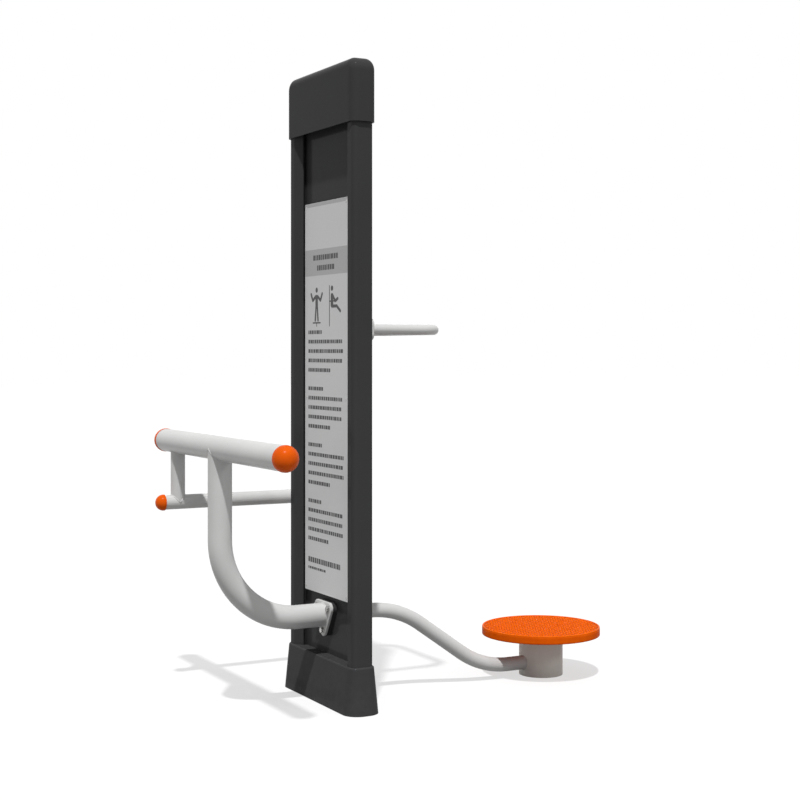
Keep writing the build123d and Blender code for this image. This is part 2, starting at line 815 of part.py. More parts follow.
# Spacer sleeve between the inner rings, and the nut that clamps them to the collar.
with BuildPart() as spindle_sleeve:
    with BuildSketch(Plane(origin=(0, disc_reach, lower_bearing_top))):
        Circle(spindle_collar / 2)
        Circle(bearing_bore / 2, mode=Mode.SUBTRACT)
    extrude(amount=upper_bearing_low - lower_bearing_top)
spindle_sleeve.part.label = "spindle_sleeve"
export_step(spindle_sleeve.part, "parts/spindle_sleeve.step")

with BuildPart() as spindle_nut:
    with BuildSketch(Plane(origin=(0, disc_reach, lower_bearing_low))):
        RegularPolygon(lock_nut_across / 2, 6, major_radius=False)
        Circle(bearing_bore / 2, mode=Mode.SUBTRACT)
    extrude(amount=-lock_nut_height)
spindle_nut.part.label = "spindle_nut"
export_step(spindle_nut.part, "parts/spindle_nut.step")

# Countersunk screws from below the hub plate up into the disc's boss.
with BuildPart() as disc_screws:
    with Locations(Plane(origin=(0, disc_reach, hub_low))):
        with PolarLocations(hub_screw_radius, hub_screw_count):
            Cone(
                hub_screw_head / 2,
                hub_screw_shank / 2,
                hub_screw_head_height,
                align=(Align.CENTER, Align.CENTER, Align.MIN),
            )
            Cylinder(
                hub_screw_shank / 2,
                hub_thickness + hub_screw_grip,
                align=(Align.CENTER, Align.CENTER, Align.MIN),
            )
disc_screws.part.label = "disc_screws"
export_step(disc_screws.part, "parts/disc_screws.step")

# Foot disc: a moulded plate with a deep rim, a boss, radial ribs and a ring rib below.
disc_radius = disc_diameter / 2
disc_low = disc_top - disc_rim
skin_low = disc_top - disc_skin
rib_low = skin_low - disc_rib_depth
with BuildPart() as foot_disc:
    with BuildSketch(disc_section) as disc_profile:
        with Locations((0, disc_top)):
            Rectangle(disc_radius, disc_rim, align=(Align.MIN, Align.MAX))
        fillet(disc_profile.vertices().group_by(Axis.X)[-1].sort_by(Axis.Y)[-1], disc_top_radius)
        fillet(disc_profile.vertices().group_by(Axis.X)[-1].sort_by(Axis.Y)[0], disc_bottom_radius)
        with Locations((0, skin_low)):
            Rectangle(
                disc_radius - disc_rim_wall,
                disc_rim,
                align=(Align.MIN, Align.MAX),
                mode=Mode.SUBTRACT,
            )
        with Locations((0, disc_top - disc_skin / 2)):
            Rectangle(
                disc_boss_diameter / 2,
                disc_top - disc_skin / 2 - hub_top,
                align=(Align.MIN, Align.MAX),
            )
        with Locations((disc_ring_radius, skin_low)):
            Rectangle(disc_rib_width, disc_rib_depth, align=(Align.CENTER, Align.MAX))
    revolve(axis=disc_axis)
    rib_length = disc_radius - disc_rim_wall / 2 - hub_diameter / 2
    with BuildSketch(Plane(origin=(0, disc_reach, rib_low))):
        with PolarLocations(hub_diameter / 2 + rib_length / 2, disc_rib_count):
            Rectangle(rib_length, disc_rib_width)
    extrude(amount=disc_rib_depth + disc_skin / 2)
    with BuildSketch(Plane(origin=(0, disc_reach, hub_top))):
        Circle(bearing_bore / 2)
    extrude(amount=hub_pilot_height + screw_play, mode=Mode.SUBTRACT)
    with BuildSketch(Plane(origin=(0, disc_reach, hub_top))):
        with PolarLocations(hub_screw_radius, hub_screw_count):
            Circle(hub_screw_shank / 2 + screw_play)
    extrude(amount=hub_screw_grip + screw_play, mode=Mode.SUBTRACT)
foot_disc.part.label = "foot_disc"
export_step(foot_disc.part, "parts/foot_disc.step")

# Hand grip: one bent tube between two oblong plates on the backs of the rails.
with BuildPart() as grip_bar:
    with BuildLine(Plane.XY.offset(grip_height)) as grip_path:
        FilletPolyline(
            (grip_x, grip_face),
            (grip_x, grip_reach),
            (-grip_x, grip_reach),
            (-grip_x, grip_face),
            radius=grip_bend_radius,
        )
    with BuildSketch(Plane(origin=(grip_x, grip_face, grip_height), z_dir=(0, 1, 0))):
        Circle(grip_diameter / 2)
        Circle(grip_diameter / 2 - grip_wall, mode=Mode.SUBTRACT)
    sweep(path=grip_path.line)
grip_bar.part.label = "grip_bar"
export_step(grip_bar.part, "parts/grip_bar.step")

with BuildPart() as grip_plate_right:
    with BuildSketch(Plane.XZ.offset(-half_depth)):
        with Locations((grip_x, grip_height)):
            SlotOverall(grip_plate_height, grip_plate_width, rotation=90)
        with Locations(*grip_screw_places):
            Circle(grip_screw_shank / 2 + screw_play, mode=Mode.SUBTRACT)
    extrude(amount=-grip_plate_thickness)
grip_plate_right.part.label = "grip_plate_right"
export_step(grip_plate_right.part, "parts/grip_plate_right.step")

with BuildPart() as grip_plate_left:
    mirror(grip_plate_right.part, about=Plane.YZ)
grip_plate_left.part.label = "grip_plate_left"
export_step(grip_plate_left.part, "parts/grip_plate_left.step")

with BuildPart() as grip_screws:
    with BuildSketch(Plane.XZ.offset(-grip_face)):
        with Locations(*grip_screw_places):
            Circle(grip_screw_shank / 2)
    extrude(amount=grip_screw_length)
    with BuildSketch(Plane.XZ.offset(-grip_face)):
        with Locations(*grip_screw_places):
            Circle(grip_screw_head / 2)
    extrude(amount=-grip_screw_head_height)
    fillet(
        grip_screws.edges().filter_by(GeomType.CIRCLE).group_by(Axis.Y)[-1],
        grip_screw_head_height / 2,
    )
    mirror(about=Plane.YZ)
grip_screws.part.label = "grip_screws"
export_step(grip_screws.part, "parts/grip_screws.step")
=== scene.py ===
# %% [markdown]
# Outdoor waist twister: finishes, welds, studs and print.
# The construction model already holds every rail, tube, flange, bearing and disc at its real
# size. What it lacks is what a hand and an eye notice first: the skin of the powder coat, the
# weld round each joint, the studs under the feet, the chamfers of the bolts and the printed
# plate. This lesson adds those, cell by cell, around the fixed model.

# %% Load the frame
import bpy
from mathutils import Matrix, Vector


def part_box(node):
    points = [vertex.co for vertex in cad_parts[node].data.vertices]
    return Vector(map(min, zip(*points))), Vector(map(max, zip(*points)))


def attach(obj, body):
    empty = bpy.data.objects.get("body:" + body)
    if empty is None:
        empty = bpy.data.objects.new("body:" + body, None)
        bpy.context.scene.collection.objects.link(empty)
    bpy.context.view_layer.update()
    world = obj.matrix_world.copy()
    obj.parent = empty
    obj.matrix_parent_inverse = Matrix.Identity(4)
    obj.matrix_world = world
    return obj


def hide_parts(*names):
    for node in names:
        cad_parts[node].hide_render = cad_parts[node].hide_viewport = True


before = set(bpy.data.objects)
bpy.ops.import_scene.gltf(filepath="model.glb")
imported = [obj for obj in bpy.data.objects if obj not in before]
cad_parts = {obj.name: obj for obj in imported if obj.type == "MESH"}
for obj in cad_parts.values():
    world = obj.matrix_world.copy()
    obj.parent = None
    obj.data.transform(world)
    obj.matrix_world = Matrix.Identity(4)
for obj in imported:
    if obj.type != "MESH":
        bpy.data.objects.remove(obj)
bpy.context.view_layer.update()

# %% [markdown]
# Blender works in metres, and a workshop drawing in millimetres. One factor keeps the sizes
# below readable. Places come from the boxes of the CAD nodes, so that nothing is typed twice.

import bmesh
import bpy
import numpy as np
from mathutils import Vector

MM = 0.001
TURN = 2 * np.pi
X, Y, Z = np.eye(3)


def corners(node):
    """Lowest corner, highest corner and middle of a CAD node, as arrays in metres."""
    low, high = (np.array(corner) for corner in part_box(node))
    return low, high, (low + high) / 2


_, rail_high, _ = corners("rail_right")
print("post rails stand to", round(rail_high[2] / MM), "mm")

# %% [markdown]
# A colour is chosen on a screen as an sRGB hex value, but light adds up in linear numbers.
# One function makes the change for every material. A second one adds a shader node, sets its
# options and fills or links its sockets, so that each material below reads like a recipe. Many
# of them stretch a noise, whose values keep mostly between 0.3 and 0.7, over a range of their own.
# A Mix node has a set of sockets for each kind of value, so those for colours go by number.

# %% Colour and node helpers
def linear(hex_colour):
    """Linear RGBA of a hex colour: c / 12.92 where dark, else ((c + 0.055) / 1.055) ^ 2.4."""
    channel = np.array([int(hex_colour[i:i + 2], 16) for i in (1, 3, 5)]) / 255
    dark = channel / 12.92
    light = ((channel + 0.055) / 1.055) ** 2.4
    return (*np.where(channel <= 0.04045, dark, light).tolist(), 1.0)


def add_node(tree, kind, inputs=None, **options):
    """Adds one node; options set its properties, inputs fill a socket with a value or a link."""
    node = tree.nodes.new(kind)
    for name, value in options.items():
        setattr(node, name, value)
    for socket, value in (inputs or {}).items():
        if isinstance(value, bpy.types.NodeSocket):
            tree.links.new(value, node.inputs[socket])
        else:
            node.inputs[socket].default_value = value
    return node


def empty_material(name):
    """A material with no nodes yet, and its tree."""
    material = bpy.data.materials.new(name)
    material.use_nodes = True
    material.node_tree.nodes.clear()
    return material, material.node_tree


NOISE_SPAN = {"From Min": 0.3, "From Max": 0.7}
SHARE, COLOUR_A, COLOUR_B, MIXED = 0, 6, 7, 2
print("white is", linear("#ffffff"))

# %% [markdown]
# Powder coat is polyester dust, charged on to blasted steel and baked. It flows into a skin a
# tenth of a millimetre thick that never lies quite flat: the eye reads a soft orange peel of
# 2 to 4 mm waves, a satin gloss, and rounded corners. The peel is drawn 6 mm wide here,
# because real peel is finer than a pixel of the picture. A Bevel node rounds the light on
# corners, and where it turns away from the true normal the coat is rubbed a little paler.
# Rain leaves a trace of dust on what faces up and on what stands in the splash near the soil.
# The charcoal coat is smoother than the greys: a thin clear glaze on it keeps a small sharp
# glint at the corners, while the coat under it hardly mirrors the white studio.

# %% Powder coat
COAT_PEEL = 6.0 * MM
COAT_CLOUD = 170.0 * MM
DUST_SPOT = 26.0 * MM
COAT_CORNER = 1.6 * MM
CORNER_TURN = {"From Min": 0.995, "From Max": 0.80}
GLAZE_ROUGHNESS = 0.04
SPLASH_HEIGHT = 180.0 * MM
DUST_COLOUR = "#8f8981"
RUBBED_COLOUR = "#b9b9b7"


def powder_coat(name, colour, roughness, specular, glaze, dust, rub):
    """Baked polyester powder coat: colour, peel, cloudiness, glaze, rubbed corners and dust."""
    material, tree = empty_material(name)
    place = add_node(tree, "ShaderNodeTexCoord").outputs["Object"]
    shape = add_node(tree, "ShaderNodeNewGeometry")
    corner = add_node(tree, "ShaderNodeBevel", {"Radius": COAT_CORNER}, samples=6)
    cloud = add_node(tree, "ShaderNodeTexNoise",
                     {"Vector": place, "Scale": 1 / COAT_CLOUD, "Detail": 4.0})
    shade = add_node(tree, "ShaderNodeMapRange",
                     {"Value": cloud.outputs["Fac"], **NOISE_SPAN,
                      "To Min": 0.97, "To Max": 1.03})
    tinted = add_node(tree, "ShaderNodeHueSaturation",
                      {"Color": linear(colour), "Value": shade.outputs["Result"]})
    turned = add_node(tree, "ShaderNodeVectorMath",
                      {0: corner.outputs["Normal"], 1: shape.outputs["Normal"]},
                      operation="DOT_PRODUCT")
    rubbed = add_node(tree, "ShaderNodeMapRange",
                      {"Value": turned.outputs["Value"], **CORNER_TURN,
                       "To Min": 0.0, "To Max": rub})
    worn = add_node(tree, "ShaderNodeMix",
                    {SHARE: rubbed.outputs["Result"], COLOUR_A: tinted.outputs["Color"],
                     COLOUR_B: linear(RUBBED_COLOUR)}, data_type="RGBA")
    facing = add_node(tree, "ShaderNodeSeparateXYZ", {"Vector": shape.outputs["Normal"]})
    level = add_node(tree, "ShaderNodeSeparateXYZ", {"Vector": place})
    upward = add_node(tree, "ShaderNodeMapRange",
                      {"Value": facing.outputs["Z"], "From Min": 0.55, "From Max": 1.0})
    splash = add_node(tree, "ShaderNodeMapRange",
                      {"Value": level.outputs["Z"], "From Min": SPLASH_HEIGHT, "From Max": 0.0})
    lies = add_node(tree, "ShaderNodeMath",
                    {0: upward.outputs["Result"], 1: splash.outputs["Result"]},
                    operation="MAXIMUM")
    spots = add_node(tree, "ShaderNodeTexNoise",
                     {"Vector": place, "Scale": 1 / DUST_SPOT, "Detail": 6.0, "Roughness": 0.65})
    patchy = add_node(tree, "ShaderNodeMapRange",
                      {"Value": spots.outputs["Fac"], "From Min": 0.38, "From Max": 0.72,
                       "To Min": 0.0, "To Max": dust})
    amount = add_node(tree, "ShaderNodeMath",
                      {0: lies.outputs["Value"], 1: patchy.outputs["Result"]},
                      operation="MULTIPLY")
    dusty = add_node(tree, "ShaderNodeMix",
                     {SHARE: amount.outputs["Value"], COLOUR_A: worn.outputs[MIXED],
                      COLOUR_B: linear(DUST_COLOUR)}, data_type="RGBA")
    peel = add_node(tree, "ShaderNodeTexNoise",
                    {"Vector": place, "Scale": 1 / COAT_PEEL, "Detail": 1.5})
    skin = add_node(tree, "ShaderNodeBump",
                    {"Height": peel.outputs["Fac"], "Strength": 0.10, "Distance": 0.5 * MM,
                     "Normal": corner.outputs["Normal"]})
    satin = add_node(tree, "ShaderNodeMapRange",
                     {"Value": spots.outputs["Fac"], **NOISE_SPAN,
                      "To Min": roughness - 0.03, "To Max": roughness + 0.04})
    coat = add_node(tree, "ShaderNodeBsdfPrincipled",
                    {"Base Color": dusty.outputs[MIXED], "Roughness": satin.outputs["Result"],
                     "Specular IOR Level": specular, "Normal": skin.outputs["Normal"],
                     "Coat Weight": glaze, "Coat Roughness": GLAZE_ROUGHNESS,
                     "Coat Normal": corner.outputs["Normal"]})
    add_node(tree, "ShaderNodeOutputMaterial", {"Surface": coat.outputs["BSDF"]})
    return material


charcoal_coat = powder_coat("charcoal_powder_coat", "#3e3e3f", roughness=0.18, specular=0.005,
                            glaze=0.06, dust=0.05, rub=0.05)
grey_coat = powder_coat("light_grey_powder_coat", "#cfcfce", roughness=0.30, specular=0.06,
                        glaze=0.0, dust=0.08, rub=0.08)
# The column wears the same grey coat as the tubes. This copy is painted lighter and warmer: painted
# bounce light from the orange disc, which lifts the disc's shade on the column.
column_coat = powder_coat("grey_powder_coat_painted_bounce_light", "#e9e7e0", roughness=0.42, specular=0.08,
                          glaze=0.0, dust=0.14, rub=0.10)
print("coats:", charcoal_coat.name, grey_coat.name, column_coat.name)

# %% [markdown]
# The balls and the foot disc are injection moulded in solid-coloured polyethylene. The mould
# was polished, so the skin is glossy, but the plastic shrinks as it cools and leaves a faint
# waviness, and sand on shoes mattes it in fine specks, most of all on the disc. The tread of
# the disc, where it faces straight up, is mixed towards brown: partly soil that stays in the
# tread, partly painted shade between the studs. The studs are a lighter orange than the tread,
# a painted highlight of their lit tops. The specular level stays low, because a white studio
# mirrors in the skin from all sides and would wash the orange out. The rim of the disc is
# rounded by a wide Bevel node. Object coordinates keep the pattern fixed to each piece when the
# disc turns.

# %% Orange plastic
MOULD_WAVE = 34.0 * MM
SCUFF_SPECK = 4.0 * MM
# Brown for faces that look up: soil in the tread, and painted shade between the studs.
TREAD_SOIL_AND_SHADE = "#7d3a14"


def moulded_plastic(name, colour, deep, roughness, specular, soil_and_shade, edge):
    """Moulded polyethylene: two close tones, shrinkage waves, matt specks, and soil with painted
    shade on top.
    """
    material, tree = empty_material(name)
    place = add_node(tree, "ShaderNodeTexCoord").outputs["Object"]
    wave = add_node(tree, "ShaderNodeTexNoise",
                    {"Vector": place, "Scale": 1 / MOULD_WAVE, "Detail": 2.0})
    speck = add_node(tree, "ShaderNodeTexNoise",
                     {"Vector": place, "Scale": 1 / SCUFF_SPECK, "Detail": 3.0})
    tone = add_node(tree, "ShaderNodeMapRange",
                    {"Value": wave.outputs["Fac"], **NOISE_SPAN})
    pigment = add_node(tree, "ShaderNodeMix",
                       {SHARE: tone.outputs["Result"], COLOUR_A: linear(colour),
                        COLOUR_B: linear(deep)}, data_type="RGBA")
    shape = add_node(tree, "ShaderNodeNewGeometry")
    facing = add_node(tree, "ShaderNodeSeparateXYZ", {"Vector": shape.outputs["Normal"]})
    # Faces that look straight up take the brown: soil and painted shade in the tread.
    upward = add_node(tree, "ShaderNodeMapRange",
                      {"Value": facing.outputs["Z"], "From Min": 0.9, "From Max": 1.0,
                       "To Min": 0.0, "To Max": soil_and_shade})
    soiled_and_shaded = add_node(tree, "ShaderNodeMix",
                      {SHARE: upward.outputs["Result"], COLOUR_A: pigment.outputs[MIXED],
                       COLOUR_B: linear(TREAD_SOIL_AND_SHADE)}, data_type="RGBA")
    round_edge = add_node(tree, "ShaderNodeBevel", {"Radius": edge}, samples=8)
    gloss = add_node(tree, "ShaderNodeMapRange",
                     {"Value": speck.outputs["Fac"], "From Min": 0.35, "From Max": 0.7,
                      "To Min": roughness - 0.05, "To Max": roughness + 0.10})
    dents = add_node(tree, "ShaderNodeBump",
                     {"Height": wave.outputs["Fac"], "Strength": 0.12, "Distance": 0.6 * MM,
                      "Normal": round_edge.outputs["Normal"]})
    plastic = add_node(tree, "ShaderNodeBsdfPrincipled",
                       {"Base Color": soiled_and_shaded.outputs[MIXED], "Roughness": gloss.outputs["Result"],
                        "IOR": 1.5, "Specular IOR Level": specular,
                        "Normal": dents.outputs["Normal"]})
    add_node(tree, "ShaderNodeOutputMaterial", {"Surface": plastic.outputs["BSDF"]})
    return material


ball_plastic = moulded_plastic("polished_orange_polyethylene", "#e35c0d", "#db560a",
                               roughness=0.22, specular=0.05, soil_and_shade=0.0, edge=MM)
# The tread is a darker orange than the studs and takes up to 40 percent brown on top: partly soil,
# partly painted shade between the studs.
disc_plastic = moulded_plastic("soiled_and_shaded_orange_polyethylene", "#e75f0a", "#dc5608",
                               roughness=0.34, specular=0.005, soil_and_shade=0.40, edge=7 * MM)
# The studs, and the lip with them, are a lighter orange than the tread: a painted highlight of the
# studs' lit tops.
stud_plastic_painted_lighter = moulded_plastic("scuffed_orange_polyethylene_painted_lighter", "#f26b12", "#ea630d",
                               roughness=0.30, specular=0.008, soil_and_shade=0.0, edge=MM)
print("plastics:", ball_plastic.name, disc_plastic.name, stud_plastic_painted_lighter.name)

# %% [markdown]
# The information plate is a sheet of aluminium with a screen-printed face under a clear matt
# varnish. The print is a screen of fine dots, which the eye sees as a faint grain. The dots
# are drawn 2.5 mm apart, coarser than a real 0.3 mm screen, so that the grain shows at all.
# The inks that lie on it are duller than the varnish between them.

# %% Printed plate and inks
SCREEN_DOT = 2.5 * MM
INK_MOTTLE = 7.0 * MM


def printed_surface(name, colour, roughness, grain):
    """A flat printed colour under varnish: dot grain, slow mottling and a fine surface tooth."""
    material, tree = empty_material(name)
    place = add_node(tree, "ShaderNodeTexCoord").outputs["Object"]
    dots = add_node(tree, "ShaderNodeTexVoronoi", {"Vector": place, "Scale": 1 / SCREEN_DOT})
    mottle = add_node(tree, "ShaderNodeTexNoise",
                      {"Vector": place, "Scale": 1 / INK_MOTTLE, "Detail": 4.0})
    both = add_node(tree, "ShaderNodeMath",
                    {0: dots.outputs["Distance"], 1: mottle.outputs["Fac"]}, operation="ADD")
    shade = add_node(tree, "ShaderNodeMapRange",
                     {"Value": both.outputs["Value"], "From Min": 0.5, "From Max": 1.3,
                      "To Min": 1 + grain, "To Max": 1 - grain})
    tinted = add_node(tree, "ShaderNodeHueSaturation",
                      {"Color": linear(colour), "Value": shade.outputs["Result"]})
    tooth = add_node(tree, "ShaderNodeBump",
                     {"Height": mottle.outputs["Fac"], "Strength": 0.05, "Distance": 0.3 * MM})
    varnish = add_node(tree, "ShaderNodeBsdfPrincipled",
                       {"Base Color": tinted.outputs["Color"], "Roughness": roughness,
                        "Specular IOR Level": 0.25, "Normal": tooth.outputs["Normal"]})
    add_node(tree, "ShaderNodeOutputMaterial", {"Surface": varnish.outputs["BSDF"]})
    return material


plate_print = printed_surface("screen_printed_aluminium", "#d4d4d4", roughness=0.45, grain=0.03)
band_ink = printed_surface("pale_screen_ink", "#b4b4b4", roughness=0.5, grain=0.04)
dark_ink = printed_surface("dark_screen_ink", "#555555", roughness=0.55, grain=0.12)
board = printed_surface("black_foam_board", "#262626", roughness=0.75, grain=0.10)
print("print:", plate_print.name, band_ink.name, dark_ink.name)

# %% [markdown]
# Bolts, screws and the hidden plates are zinc plated: a blue-white passivated skin, a little
# uneven from the bath. Bearing rings and balls are ground and polished chrome steel. Both are
# metals, so the colour is the colour of the reflection, and roughness makes the difference.

# %% Steels
ZINC_CRYSTAL = 5.0 * MM
GRINDING_LINE = 1.2 * MM


def plain_steel(name, colour, roughness, uneven, pattern):
    """Bare or plated steel: a metal whose tone and roughness change by a small pattern."""
    material, tree = empty_material(name)
    place = add_node(tree, "ShaderNodeTexCoord").outputs["Object"]
    bath = add_node(tree, "ShaderNodeTexNoise",
                    {"Vector": place, "Scale": 1 / pattern, "Detail": 5.0})
    shade = add_node(tree, "ShaderNodeMapRange",
                     {"Value": bath.outputs["Fac"], **NOISE_SPAN,
                      "To Min": 1 - uneven, "To Max": 1 + uneven})
    tinted = add_node(tree, "ShaderNodeHueSaturation",
                      {"Color": linear(colour), "Value": shade.outputs["Result"]})
    matt = add_node(tree, "ShaderNodeMapRange",
                    {"Value": bath.outputs["Fac"], **NOISE_SPAN,
                     "To Min": roughness + uneven, "To Max": roughness - uneven / 2})
    skin = add_node(tree, "ShaderNodeBump",
                    {"Height": bath.outputs["Fac"], "Strength": 0.1, "Distance": 0.1 * MM})
    steel = add_node(tree, "ShaderNodeBsdfPrincipled",
                     {"Base Color": tinted.outputs["Color"], "Metallic": 1.0,
                      "Roughness": matt.outputs["Result"], "Normal": skin.outputs["Normal"]})
    add_node(tree, "ShaderNodeOutputMaterial", {"Surface": steel.outputs["BSDF"]})
    return material


zinc_steel = plain_steel("zinc_plated_steel", "#b5b4b2", roughness=0.36, uneven=0.10,
                         pattern=ZINC_CRYSTAL)
bearing_steel = plain_steel("polished_bearing_steel", "#d2d3d4", roughness=0.12, uneven=0.04,
                            pattern=GRINDING_LINE)
print("steels:", zinc_steel.name, bearing_steel.name)

# %% [markdown]
# Every CAD node already names the slot of its finish, such as charcoal_coat. Giving each node
# its detailed material is then one lookup, and no node can be forgotten.

# %% Dress the CAD nodes
finish_of_slot = {
    "charcoal_coat": charcoal_coat,
    "grey_coat": grey_coat,
    "column_coat": column_coat,
    "orange_plastic": ball_plastic,
    "sign_print": plate_print,
    "zinc_steel": zinc_steel,
    "bearing_steel": bearing_steel,
    "board": board,
}
for node_name, node_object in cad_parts.items():
    for material_slot in node_object.material_slots:
        slot_name = material_slot.material.name.split(".")[0]
        material_slot.material = finish_of_slot[slot_name]
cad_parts["foot_disc"].material_slots[0].material = disc_plastic
print("dressed", len(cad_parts), "nodes in", len(finish_of_slot), "finishes")

# %% [markdown]
# All new pieces are grids of points. A ring of points is repeated along a path, and neighbours
# are joined by faces. The same function makes one weld bead or four hundred studs, because it
# takes many copies of a grid at once. Nothing loops over single points: numpy works out whole
# arrays of places and of face corners.

# %% From rings of points to a mesh
CREASE = np.radians(38)


def as_piece(name, mesh):
    """An object for a finished mesh, smooth but for the edges that turn more than CREASE."""
    mesh.shade_smooth()
    mesh.set_sharp_from_angle(angle=CREASE)
    piece = bpy.data.objects.new(name, mesh)
    bpy.context.scene.collection.objects.link(piece)
    return piece


def lofted(name, rings, closed_along=False):
    """One mesh from k grids of n rings with m points each, given as an array (k, n, m, 3).

    Point j of ring i joins point j + 1 of its ring and point j of ring i + 1, and each ring
    closes on itself. The last ring joins the first one, or else a fan of faces with a middle
    point closes each end ring. Rings run anticlockwise about the direction of travel, which
    turns every face outwards.
    """
    rings = np.asarray(rings, float)
    rings = rings.reshape((-1,) + rings.shape[-3:])
    copies, count, across, _ = rings.shape
    index = np.arange(copies * count * across).reshape(copies, count, across)
    travel = np.concatenate([index, index[:, :1]], axis=1) if closed_along else index
    near, far = travel[:, :-1], travel[:, 1:]
    square = [near, np.roll(near, -1, axis=2), np.roll(far, -1, axis=2), far]
    faces = np.stack(square, axis=-1).reshape(-1, 4).tolist()
    points = rings.reshape(-1, 3)
    for end in () if closed_along else (0, -1):
        rim = index[:, end]
        after = np.roll(rim, -1, axis=1)
        hub = np.repeat(len(points) + np.arange(copies)[:, None], across, axis=1)
        fan = [after, rim, hub] if end == 0 else [rim, after, hub]
        faces += np.stack(fan, axis=-1).reshape(-1, 3).tolist()
        points = np.vstack([points, rings[:, end].mean(axis=1)])
    mesh = bpy.data.meshes.new(name)
    mesh.from_pydata(points.tolist(), [], faces)
    return as_piece(name, mesh)


def dress(piece, material, body, stands_for=()):
    """Gives a new piece its finish and the body it moves with, and hides the CAD nodes it stands
    for.
    """
    piece.data.materials.append(material)
    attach(piece, body)
    if stands_for:
        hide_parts(*stands_for)
    print(piece.name, len(piece.data.polygons), "faces on", body)


# %% [markdown]
# Each joint of the tubes is closed by a weld seam under the coat. A seam is a round bead that
# follows the line where two skins meet, with a ripple where the welder dipped the wire. Here
# the line is a formula, and the bead is a circle carried along it. Its radius rises and falls
# once each ripple. Ripples are drawn 4 mm apart, the coarse end of real ones.

# %% Weld beads
BEAD_RADIUS = 1.9 * MM
BEAD_RIPPLE = 4.0 * MM
RIPPLE_SHARE = 0.16
BEAD_AROUND = 12
SEAM_POINTS = 420
ring_angle = np.linspace(0, TURN, SEAM_POINTS, endpoint=False)
cosine, sine = np.cos(ring_angle), np.sin(ring_angle)


def bead(line, outward):
    """Rings of a seam: line + r (cos a N + sin a B), N outward and B across the line.

    The radius r rises and falls with the length travelled along the line.
    """
    ahead = np.roll(line, -1, axis=0) - np.roll(line, 1, axis=0)
    step = np.linalg.norm(ahead, axis=1, keepdims=True)
    tangent = ahead / step
    across = np.cross(tangent, outward)
    across /= np.linalg.norm(across, axis=1, keepdims=True)
    normal = np.cross(across, tangent)
    travelled = np.cumsum(step[:, 0]) / 2
    ripples = np.round(travelled[-1] / BEAD_RIPPLE)
    phase = travelled / travelled[-1] * ripples * np.pi
    size = BEAD_RADIUS * (1 + RIPPLE_SHARE * (np.abs(np.sin(phase)) - 0.5))
    a = np.linspace(0, TURN, BEAD_AROUND, endpoint=False)
    fan = normal[:, None] * np.cos(a)[:, None] + across[:, None] * np.sin(a)[:, None]
    return line[:, None] + size[:, None, None] * fan


def around(middle, axis_u, axis_v, radius):
    """Points middle + radius (cos t u + sin t v), all round, and their outward directions."""
    out = cosine[:, None] * axis_u + sine[:, None] * axis_v
    return middle + radius * out, out


leg_low, leg_high, leg_mid = corners("leg_bar")
leg_radius = (leg_high[2] - leg_low[2]) / 2
side_low, side_high, side_mid = corners("side_bar")
side_radius = (side_high[2] - side_low[2]) / 2
column_low, column_high, column_mid = corners("column")
column_radius = (column_high[0] - column_low[0]) / 2
front_arm_low, _, _ = corners("front_arm")
rear_arm_low, _, _ = corners("rear_arm")
front_level = front_arm_low[2] + leg_radius
rear_level = rear_arm_low[2] + side_radius
print("leg bar radius", round(leg_radius / MM), "side bar radius", round(side_radius / MM))

# %% [markdown]
# Where one tube meets another side-on, its end is cut to a saddle. A point at angle t of the
# joining tube of radius r lies r sin t off the axis of the tube of radius R that it meets, so
# the saddle stands sqrt(R^2 - (r sin t)^2) away from that axis. Three seams follow this line
# on the bars, and one, turned on its side, follows it on the column.

# %% Saddle seams
arm_top, arm_out = around(leg_mid, X, Y, leg_radius)
arm_top[:, 2] = leg_mid[2] - leg_radius * np.abs(cosine)

riser_ring, riser_out = around(np.array([side_mid[0], leg_mid[1], 0]), X, Y, side_radius)
leg_drop = np.sqrt(leg_radius**2 - (side_radius * sine)**2)
riser_top = riser_ring + (leg_mid[2] - leg_drop)[:, None] * Z
riser_low = riser_ring + (side_mid[2] + side_radius * np.abs(sine))[:, None] * Z

rear_ring, rear_out = around(rear_level * Z, X, Z, side_radius)
column_reach = np.sqrt(column_radius**2 - (side_radius * cosine)**2)
rear_end = rear_ring + (column_mid[1] - column_reach)[:, None] * Y

saddle_seams = np.stack([
    bead(arm_top, arm_out - Z),
    bead(riser_top, riser_out - Z),
    bead(riser_low, riser_out + Z),
    bead(rear_end[::-1], (rear_out - Y)[::-1]),
])
saddle_welds = lofted("saddle_welds", saddle_seams, closed_along=True)
dress(saddle_welds, grey_coat, "frame")

# %% [markdown]
# The other seams are plain circles: the arms on their flanges, and the grip on its plates.

# %% Round seams
flange_low, _, _ = corners("front_flange")
_, rear_flange_high, _ = corners("rear_flange")
grip_low, grip_high, grip_mid = corners("grip_bar")
_, grip_plate_high, grip_plate_mid = corners("grip_plate_right")
grip_radius = (grip_high[2] - grip_low[2]) / 2
grip_start = grip_plate_high[1] * Y + grip_mid[2] * Z
tube_ends = [
    (flange_low[1] * Y + front_level * Z, leg_radius, -Y),
    (rear_flange_high[1] * Y + front_level * Z, side_radius, Y),
    (grip_start + grip_plate_mid[0] * X, grip_radius, Y),
    (grip_start - grip_plate_mid[0] * X, grip_radius, Y),
]
round_seams = []
for end_middle, end_radius, end_way in tube_ends:
    end_ring, end_out = around(end_middle, X, Z, end_radius)
    round_seams.append(bead(end_ring, end_out + end_way))
round_welds = lofted("round_welds", round_seams, closed_along=True)
dress(round_welds, grey_coat, "frame")

# %% [markdown]
# The grip is welded to its two fixing plates before all three are coated, so the plates are as
# light as the tube, while the construction model gives them the post's dark slot. A copy of both
# nodes stands for them in light grey. A node's mesh is loose triangles, so the copy's equal
# points are merged, and the Bevel node finds its corners.

# %% Plates of the grip
MERGE_WITHIN = 0.001 * MM


